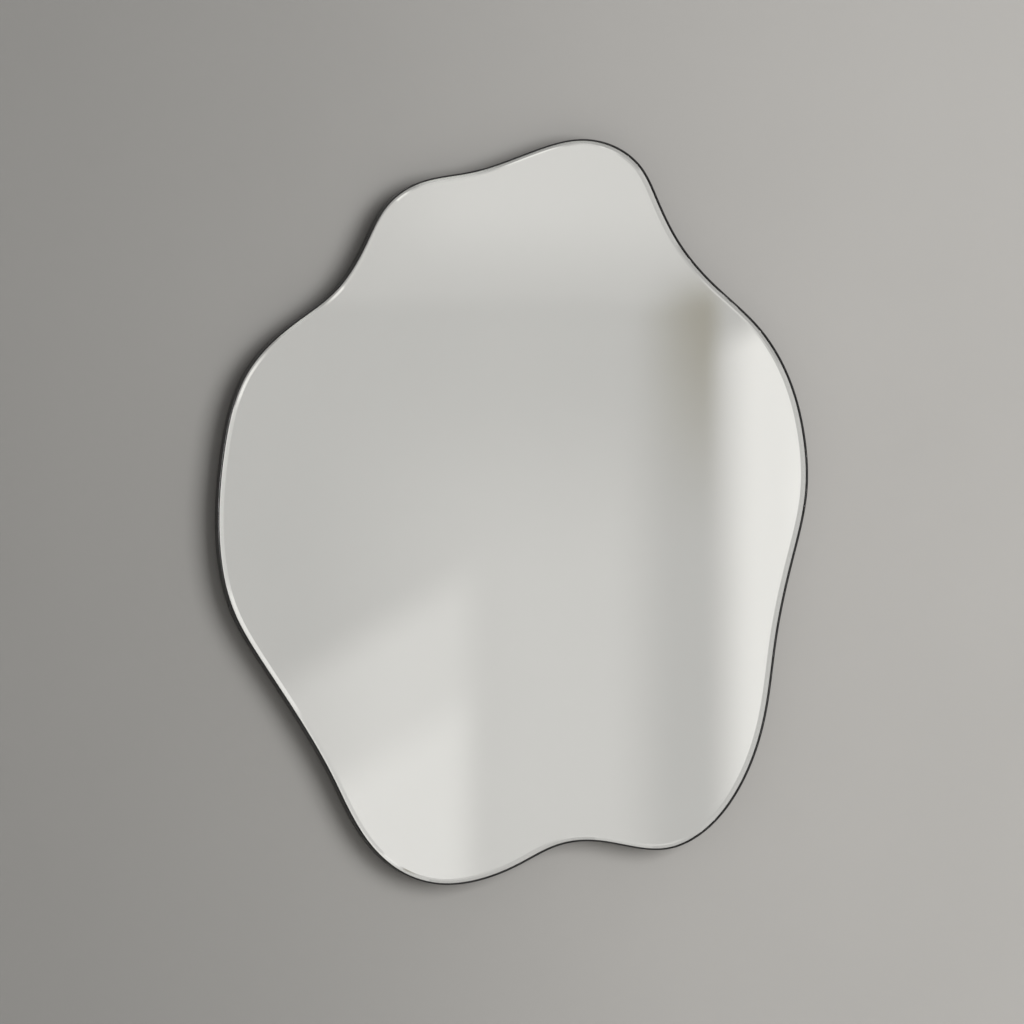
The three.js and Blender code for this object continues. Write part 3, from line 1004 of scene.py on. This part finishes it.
def strap_centre_line(side, settings):
    """Points [y, z] along the middle of the folded strip, from the board's layer to the outer.

    The strip comes up against the board, goes round the ring's bar as a knuckle, and turns back
    through a small reverse bend into its outer layer, which lies over the first.
    """
    low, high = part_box(f"hanger_strap_{side}")
    axis = joint_place(f"{side}_ring_swing")
    sheet = settings.sheet
    bend = (high.y - axis.y) - sheet / 2
    board_layer = low.y + sheet / 2
    outer_layer = strap_face(side) - sheet / 2
    relief = settings.fold_relief
    relief_y = outer_layer + relief
    relief_z = axis.z - math.sqrt((bend + relief) ** 2 - (relief_y - axis.y) ** 2)
    meeting = math.atan2(relief_z - axis.z, relief_y - axis.y)
    corner = settings.strap_corner
    quarter = [math.pi / 2 * step / BEND_STEPS for step in range(BEND_STEPS + 1)]
    ends = [low.z + corner * (1 - math.cos(angle)) for angle in quarter]
    board_run = [(board_layer, z) for z in [*ends, (ends[-1] + axis.z) / 2]]
    around = np.linspace(math.pi, meeting, FOLD_STEPS)
    knuckle = [(axis.y + bend * math.cos(a), axis.z + bend * math.sin(a)) for a in around]
    back = np.linspace(meeting + math.pi, math.pi, BEND_STEPS + 2)[1:]
    turn = [(relief_y + relief * math.cos(a), relief_z + relief * math.sin(a)) for a in back]
    outer_run = [(outer_layer, z) for z in reversed(ends)]
    return board_run + knuckle + turn + outer_run


def strap_mesh(side, settings):
    """Folded strip: a closed band of four corners swept along its centre line."""
    low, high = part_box(f"hanger_strap_{side}")
    centre = (low.x + high.x) / 2
    half = (high.x - low.x) / 2
    corner = settings.strap_corner
    line = np.array(strap_centre_line(side, settings))
    along = np.gradient(line, axis=0)
    along /= np.linalg.norm(along, axis=1)[:, None]
    off = np.stack([-along[:, 1], along[:, 0]], axis=1) * settings.sheet / 2
    vertices = []
    for (y, z), (off_y, off_z) in zip(line, off):
        shortfall = max(corner - (z - low.z), 0.0)
        reach = half - corner + math.sqrt(max(corner**2 - shortfall**2, 0.0))
        vertices += [
            (centre - reach, y + off_y, z + off_z),
            (centre + reach, y + off_y, z + off_z),
            (centre + reach, y - off_y, z - off_z),
            (centre - reach, y - off_y, z - off_z),
        ]
    sides = 4
    last = len(vertices) - sides
    faces = []
    for base in range(0, last, sides):
        for here in range(sides):
            after = (here + 1) % sides
            faces.append((base + here, base + sides + here, base + sides + after, base + after))
    faces.append(tuple(range(sides)))
    faces.append(tuple(reversed(range(last, len(vertices)))))
    mesh = mesh_from(f"strap_{side}", vertices, faces)
    shape = bmesh.new()
    shape.from_mesh(mesh)
    bmesh.ops.recalc_face_normals(shape, faces=shape.faces)
    shape.to_mesh(mesh)
    shape.free()
    return mesh


class WALLMIRROR_OT_straps(MirrorOperator, bpy.types.Operator):
    """Fold the two hanger straps round the bars of their rings"""

    bl_idname = "wall_mirror.straps"
    bl_label = "Hanger Straps"

    def build(self, scene):
        settings = scene.wall_mirror_hangers
        zinc = zinc_finish(settings)
        for side in SIDES:
            strap = new_piece(f"strap_{side}", strap_mesh(side, settings))
            cutters = cut_away(strap, screw_bores(settings.screw_hole, [side]))
            easing = strap.modifiers.new("Eased Edges", "BEVEL")
            easing.width = settings.strap_easing
            easing.segments = EASING_STEPS
            easing.limit_method = "ANGLE"
            easing.angle_limit = CUT_EDGE_ANGLE
            strap = settle(strap, cutters)
            strap.data.materials.append(zinc)
            finish_piece(strap, "mirror", "zinc", f"hanger_strap_{side}")


def screw_mesh(settings, head_radius, whole):
    """Pan-head screw about Y, its seat at y = 0 and its point towards -Y."""
    tip = SCREW_HEAD_HEIGHT - whole
    profile = [
        (0, tip),
        (settings.shank, tip + settings.point),
        (settings.shank, 0),
        (head_radius, 0),
    ]
    crown, rim = settings.crown, settings.head_rim
    steps = ROUNDING_STEPS * 2
    for step in range(steps + 1):
        angle = math.pi / 2 * step / steps
        radius = crown + (head_radius - crown) * math.cos(angle)
        height = rim + (SCREW_HEAD_HEIGHT - rim) * math.sin(angle)
        profile.append((radius, height))
    profile.append((0, SCREW_HEAD_HEIGHT))
    return turned_mesh("screw", profile, SCREW_SEGMENTS)


class WALLMIRROR_OT_screws(MirrorOperator, bpy.types.Operator):
    """Drive the four pan-head screws, each stopped at its own angle"""

    bl_idname = "wall_mirror.screws"
    bl_label = "Hanger Screws"

    def build(self, scene):
        settings = scene.wall_mirror_hangers
        nodes = screw_nodes()
        low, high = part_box(nodes[0])
        mesh = screw_mesh(settings, width_of(nodes[0]) / 2, high.y - low.y)
        master = new_piece("screw_master", mesh)
        depth = settings.recess_depth
        span, width = settings.recess_span, settings.recess_width
        centre = Vector((0.0, SCREW_HEAD_HEIGHT, 0.0))
        arms = [(span, 2 * depth, width), (width, 2 * depth, span)]
        cutters = cut_away(master, [box_mesh("recess_arm", arm, centre) for arm in arms])
        master = settle(master, cutters)
        seat = high.y - SCREW_HEAD_HEIGHT
        places = [(middle(node).x, seat, middle(node).z) for node in nodes]
        zinc = zinc_finish(settings)
        screws = copies("pan_head_screws", master, places, SCREW_SEED, zinc)
        finish_piece(screws, "mirror", "zinc", *nodes)


def ring_path(side, settings):
    """Points round the middle of a D-ring's wire, leaning on the board."""
    low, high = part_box(f"d_ring_{side}")
    axis = joint_place(f"{side}_ring_swing")
    half = (high.x - low.x) / 2 - settings.wire
    corner = settings.ring_corner
    # The bow is a half circle on two short arms, and its crest leans in to its lowest depth.
    crest_y = low.y + settings.wire - axis.y
    crest_z = high.z - settings.wire - axis.z
    crest = math.hypot(crest_y, crest_z)
    arm = crest - half
    turns = [
        (corner - half, corner, corner, 1.5 * math.pi, math.pi, BEND_STEPS * 2),
        (0.0, arm, half, math.pi, 0.0, BOW_STEPS),
        (half - corner, corner, corner, 0.0, -0.5 * math.pi, BEND_STEPS * 2),
    ]
    centre = (low.x + high.x) / 2
    points = []
    for x, rise, radius, start, end, steps in turns:
        for angle in np.linspace(start, end, steps + 1):
            up = rise + radius * math.sin(angle)
            points.append((
                centre + x + radius * math.cos(angle),
                axis.y + up * crest_y / crest,
                axis.z + up * crest_z / crest,
            ))
    return points


class WALLMIRROR_OT_rings(MirrorOperator, bpy.types.Operator):
    """Bend the two D-rings, each on its own body"""

    bl_idname = "wall_mirror.rings"
    bl_label = "D-rings"

    def build(self, scene):
        settings = scene.wall_mirror_hangers
        group = wire_tree()
        zinc = zinc_finish(settings)
        for side in SIDES:
            path = ring_path(side, settings)
            edges = [(here, (here + 1) % len(path)) for here in range(len(path))]
            values = {"Wire Radius": settings.wire, "Sides": WIRE_SIDES, "Material": zinc}
            ring = grow(f"ring_{side}", path, edges, group, values)
            finish_piece(ring, f"{side}_ring", "zinc", f"d_ring_{side}")


# ---------------------------------------------------------------- the studio

# The photograph's camera: its angle to the left of straight ahead, its distance, lens and aim
CAMERA_AZIMUTH = math.radians(-14.77)
CAMERA_DISTANCE = 3.0
CAMERA_LENS = 143.1
CAMERA_TARGET = Vector((-5.23, -18.3, -1.2)) * MM

# Where each lamp is, and how wide
KEY_LAMP = (1.25, -2.3, 0.35), 1.8
REAR_LAMP = (1.2, 2.4, 1.5), 2.0
EDGE_LAMP = (-2.5, -0.7, 0.3), 1.0

AMBIENT_TINT = (1.0, 0.99, 0.975)

# Sizes of the wall and the floor. The wall's colour changes between two places across it, painted
# shade that makes it darker to the left, and the floor fades out between two distances.
WALL_HALF_WIDTH = 4.0
WALL_TOP = 3.5
WALL_OPENING_INSET = 12 * MM
WALL_SHADE_FADE = (-0.42, 0.3)
WALL_CLOUDING = 0.04
FLOOR_RADIUS = 6.0
FLOOR_FADE = (1.6, 3.4)

# The board in front of the mirror that only reflections show: it glows with painted light and
# shade, a painted reflection of a room
ROOM_DEPTH = -5.6
ROOM_HALF_WIDTH = 7.0
ROOM_HALF_HEIGHT = 5.0
ROOM_TONE = 0.474
# Share of the board's light that comes back through the glass, and the tint that it needs
MIRROR_SHARE = 0.86
ROOM_TINT = (1.0, 0.962, 0.951)
NO_TINT = (1.0, 1.0, 1.0)

# Soft-edged patches of painted light and shade on that board, each laid over the ones before it.
# Places are millimetres on the mirror's face, where the camera sees them: limits are left, right,
# bottom and top at x = 0, fades are how wide each limit's edge is, and climb is how much the
# bottom and top limits rise to the right.
FAR = 4000
SHARP = 1
Patch = namedtuple("Patch", "limits fades climb tone tint", defaults=(NO_TINT,))
PATCHES = {
    "left of the room": Patch((-FAR, -400, -FAR, FAR), (SHARP, 150, SHARP, SHARP), 0.0, 0.52),
    "middle": Patch((-85, 95, -330, 152), (200, 60, 60, 20), 0.0, 0.498),
    "lower middle": Patch((-85, 95, -330, 24), (200, 60, 60, 176), 0.0, 0.572),
    "shaded corner": Patch(
        (115, 155, 64, 168), (68, 23, 214, 40), 0.0, 0.33, (1.0, 0.965, 0.86)
    ),
    "window": Patch((164, 300, -330, 60), (46, 30, 60, 34), 0.42, 0.765),
    "brightest edge": Patch((214, 300, -FAR, 60), (26, 30, SHARP, 120), 0.0, 0.83),
    "past the edge": Patch((227, FAR, -FAR, FAR), (10, SHARP, SHARP, SHARP), 0.0, 0.56),
    "far to the right": Patch((700, FAR, -FAR, FAR), (400, SHARP, SHARP, SHARP), 0.0, 0.8),
    "upper wall": Patch((-300, 110, 152, 330), (60, 60, 22, 40), 0.0, 0.515),
    "ceiling": Patch((-100, 250, 187, 330), (150, 60, 92, 40), 0.0, 0.618),
    "low light": Patch((-170, -36, -330, -27), (200, 38, 60, 46), 0.57, 0.635),
    "lowest light": Patch((-200, -42, -330, -119), (150, 34, 60, 46), 0.6, 0.7),
    "floor": Patch((-FAR, FAR, -FAR, -330), (SHARP, SHARP, SHARP, 60), 0.0, 0.4),
}


def camera_place():
    back = Vector((math.sin(CAMERA_AZIMUTH), -math.cos(CAMERA_AZIMUTH), 0.0))
    return CAMERA_TARGET + back * CAMERA_DISTANCE, back


def mirror_reach():
    """How much further than the mirror's face the reflected board is from the camera."""
    eye, _ = camera_place()
    _, silver = rear_and_front("silver_coat")
    return 1 + (silver - ROOM_DEPTH) / (silver - eye.y)


def patch_mask(finish, patch):
    """1 on the patch and 0 off it, with soft edges, on the board's own coordinates."""
    eye, _ = camera_place()
    reach = mirror_reach()
    place = finish.tree.nodes.new("ShaderNodeSeparateXYZ")
    finish.link(finish.place, place.inputs[0])
    # The same place on the mirror's face, in millimetres
    across, height = (
        finish.math(
            "ADD",
            finish.math("MULTIPLY", place.outputs[axis], 1 / (reach * MM)),
            start * (1 - 1 / reach) / MM,
        )
        for axis, start in (("X", eye.x), ("Z", eye.z))
    )
    level = finish.math("SUBTRACT", height, finish.math("MULTIPLY", across, patch.climb))
    left, right, bottom, top = patch.limits
    fade_left, fade_right, fade_bottom, fade_top = patch.fades
    edges = [
        finish.range(across, left - fade_left / 2, left + fade_left / 2),
        finish.range(across, right + fade_right / 2, right - fade_right / 2),
        finish.range(level, bottom - fade_bottom / 2, bottom + fade_bottom / 2),
        finish.range(level, top + fade_top / 2, top - fade_top / 2),
    ]
    mask = edges[0]
    for edge in edges[1:]:
        mask = finish.math("MULTIPLY", mask, edge)
    return mask


def room_tone(level, tint=NO_TINT):
    """What the room has to give off for the mirror to show this level."""
    return rgba(cast_over(ROOM_TINT, tint), level / MIRROR_SHARE)


def room_finish():
    """The room's own tone with the patches of painted light and shade over it, given off as light.
    """
    finish = Finish("reflected_room")
    tone = room_tone(ROOM_TONE)
    for patch in PATCHES.values():
        tone = finish.blend(patch_mask(finish, patch), tone, room_tone(patch.tone, patch.tint))
    emission = finish.tree.nodes.new("ShaderNodeEmission")
    finish.link(tone, emission.inputs["Color"])
    finish.link(emission.outputs[0], finish.output.inputs["Surface"])
    finish.material.cycles.emission_sampling = "NONE"
    return finish.material


def one_sided(finish):
    """Lets the camera see through the back of a stage surface."""
    nodes = finish.tree.nodes
    camera_ray = nodes.new("ShaderNodeLightPath").outputs["Is Camera Ray"]
    behind = nodes.new("ShaderNodeNewGeometry").outputs["Backfacing"]
    finish.thin_out(finish.math("MULTIPLY", camera_ray, behind))


def wall_finish(settings):
    """Plain painted wall, made a little darker to the left by painted shade."""
    finish = Finish("plain_wall", Specular_IOR_Level=0.2)
    place = finish.tree.nodes.new("ShaderNodeSeparateXYZ")
    finish.link(finish.place, place.inputs[0])
    cloud = finish.noise(2.5, detail=4.0)
    tooth = finish.noise(700.0, detail=3.0)
    # Painted shade: the wall's colour darkens towards the left
    across = finish.blend(
        finish.range(place.outputs["X"], *WALL_SHADE_FADE), rgba(settings.wall_shaded_left), rgba(settings.wall)
    )
    clouding = finish.range(cloud, *NOISE_SPAN, 0.0, WALL_CLOUDING)
    one_sided(finish)
    return finish.set(
        Base_Color=finish.blend(clouding, across, rgba(BLACK)),
        Roughness=finish.range(tooth, *NOISE_SPAN, 0.85, 0.95),
        Normal=finish.bump(tooth, 0.15, 0.0002),
    )


def floor_finish(settings):
    """Plain pale floor that fades into the background far from the mirror."""
    finish = Finish("plain_floor", Specular_IOR_Level=0.2)
    cloud = finish.noise(1.7, detail=4.0)
    tint = finish.blend(
        finish.range(cloud, *NOISE_SPAN), rgba(settings.floor), rgba(settings.floor, 0.97)
    )
    distance = finish.tree.nodes.new("ShaderNodeVectorMath")
    distance.operation = "LENGTH"
    finish.link(finish.place, distance.inputs[0])
    finish.thin_out(finish.range(distance.outputs["Value"], *FLOOR_FADE))
    one_sided(finish)
    return finish.set(Base_Color=tint, Roughness=finish.range(cloud, *NOISE_SPAN, 0.8, 0.9))


def add_wall(settings):
    """Plain wall with an opening hidden behind the mirror, through which its back is lit."""
    opening = inset(outline_beyond_glass("edge_strip", WALL_POINTS), WALL_OPENING_INSET)
    vertices = [(x, 0.0, z) for x, z in opening]
    for x, z in opening:
        edge = WALL_TOP if z > 0 else settings.floor_drop
        stretch = min(WALL_HALF_WIDTH / abs(x), edge / abs(z))
        vertices.append((x * stretch, 0.0, z * stretch))
    faces = []
    for here in range(WALL_POINTS):
        after = (here + 1) % WALL_POINTS
        faces.append((here, WALL_POINTS + here, WALL_POINTS + after, after))
    wall = new_piece("wall", mesh_from("wall", vertices, faces), [wall_finish(settings)])
    wall.visible_shadow = False


def add_floor(settings):
    corners = [(-1, -1), (1, -1), (1, 1), (-1, 1)]
    vertices = [(x * FLOOR_RADIUS, y * FLOOR_RADIUS, 0.0) for x, y in corners]
    mesh = mesh_from("floor", vertices, [(0, 1, 2, 3)])
    floor = new_piece("floor", mesh, [floor_finish(settings)])
    floor.location.z = -settings.floor_drop


def add_reflected_room():
    half, rise = ROOM_HALF_WIDTH, ROOM_HALF_HEIGHT
    corners = [(-half, -rise), (half, -rise), (half, rise), (-half, rise)]
    vertices = [(x, ROOM_DEPTH, z) for x, z in corners]
    mesh = mesh_from("reflected_room", vertices, [(3, 2, 1, 0)])
    room = new_piece("reflected_room", mesh, [room_finish()])
    room.visible_camera = False
    room.visible_diffuse = False
    room.visible_shadow = False


def add_lamp(name, place, size, watts, shines=False, lights=True):
    """A square lamp aimed at the mirror. If it shines, glossy surfaces show it, and if it
    lights, dull ones take its light.
    """
    lamp = bpy.data.lights.new(name, "AREA")
    lamp.shape = "SQUARE"
    lamp.size = size
    lamp.energy = watts
    holder = bpy.data.objects.new(name, lamp)
    holder.location = place
    holder.rotation_mode = "QUATERNION"
    holder.rotation_quaternion = (-Vector(place)).to_track_quat("-Z", "Y")
    holder.visible_camera = False
    holder.visible_glossy = shines
    holder.visible_diffuse = lights
    holder.visible_transmission = False
    bpy.context.scene.collection.objects.link(holder)
    return holder


def light_only(lamp, piece):
    """Keeps a lamp's light to one piece, so that the mirror doesn't show the lamp."""
    receivers = bpy.data.collections.new(f"{lamp.name}_receivers")
    receivers.objects.link(piece)
    lamp.light_linking.receiver_collection = receivers


def set_world(scene, settings):
    """Pale background for what the camera, metal and glass see, and a dimmer even light."""
    world = bpy.data.worlds.new("studio")
    world.use_nodes = True
    nodes = world.node_tree.nodes
    links = world.node_tree.links
    nodes.clear()
    rays = nodes.new("ShaderNodeLightPath").outputs
    seen = rays["Is Camera Ray"]
    for kind in ("Is Glossy Ray", "Is Transmission Ray"):
        either = nodes.new("ShaderNodeMath")
        either.operation = "MAXIMUM"
        links.new(seen, either.inputs[0])
        links.new(rays[kind], either.inputs[1])
        seen = either.outputs[0]
    ambient = nodes.new("ShaderNodeBackground")
    ambient.inputs["Color"].default_value = rgba(AMBIENT_TINT)
    ambient.inputs["Strength"].default_value = settings.ambient
    pale = nodes.new("ShaderNodeBackground")
    pale.inputs["Color"].default_value = rgba(settings.background)
    mix = nodes.new("ShaderNodeMixShader")
    output = nodes.new("ShaderNodeOutputWorld")
    links.new(seen, mix.inputs[0])
    links.new(ambient.outputs[0], mix.inputs[1])
    links.new(pale.outputs[0], mix.inputs[2])
    links.new(mix.outputs[0], output.inputs["Surface"])
    scene.world = world


def set_camera(scene):
    camera = bpy.data.cameras.new("camera")
    camera.lens = CAMERA_LENS
    holder = bpy.data.objects.new("camera", camera)
    holder.location, back = camera_place()
    holder.rotation_mode = "QUATERNION"
    holder.rotation_quaternion = (-back).to_track_quat("-Z", "Y")
    scene.collection.objects.link(holder)
    scene.camera = holder


class WALLMIRROR_OT_stage(MirrorOperator, bpy.types.Operator):
    """Set up the wall, the floor, what the mirror reflects, the lamps and the camera"""

    bl_idname = "wall_mirror.stage"
    bl_label = "Studio"

    def build(self, scene):
        settings = scene.wall_mirror_studio
        add_wall(settings)
        add_floor(settings)
        add_reflected_room()
        add_lamp("key", *KEY_LAMP, settings.key_power)
        add_lamp("rear", *REAR_LAMP, settings.rear_power, shines=True)
        edge = add_lamp("edge", *EDGE_LAMP, settings.edge_power, shines=True, lights=False)
        light_only(edge, scene.objects["black_edge_strip"])
        set_world(scene, settings)
        set_camera(scene)
        scene.view_settings.view_transform = "Standard"


# ---------------------------------------------------------------- add-on parts

OPERATORS = [
    WALLMIRROR_OT_glass,
    WALLMIRROR_OT_silver,
    WALLMIRROR_OT_board,
    WALLMIRROR_OT_strip,
    WALLMIRROR_OT_tapes,
    WALLMIRROR_OT_bumpers,
    WALLMIRROR_OT_straps,
    WALLMIRROR_OT_screws,
    WALLMIRROR_OT_rings,
    WALLMIRROR_OT_stage,
]


class WALLMIRROR_PT_panel(bpy.types.Panel):
    """Lists the pieces of the mirror and the settings behind them"""

    bl_idname = "WALLMIRROR_PT_panel"
    bl_label = "Wall Mirror"
    bl_space_type = "VIEW_3D"
    bl_region_type = "UI"
    bl_category = "Wall Mirror"

    def draw(self, context):
        for operator in OPERATORS:
            self.layout.operator(operator.bl_idname)
        for name, group in SETTINGS.items():
            box = self.layout.box()
            box.label(text=group.__doc__)
            for setting in group.__annotations__:
                box.prop(getattr(context.scene, name), setting)


CLASSES = [*SETTINGS.values(), *OPERATORS, WALLMIRROR_PT_panel]


def register():
    for item in CLASSES:
        bpy.utils.register_class(item)
    for name, group in SETTINGS.items():
        setattr(bpy.types.Scene, name, PointerProperty(type=group))


def unregister():
    for name in SETTINGS:
        delattr(bpy.types.Scene, name)
    for item in reversed(CLASSES):
        bpy.utils.unregister_class(item)


def main():
    register()
    for operator in OPERATORS:
        group, action = operator.bl_idname.split(".")
        result = getattr(getattr(bpy.ops, group), action)()
        if result != {"FINISHED"}:
            raise RuntimeError(f"{operator.bl_label} did not finish")


if __name__ == "__main__":
    main()
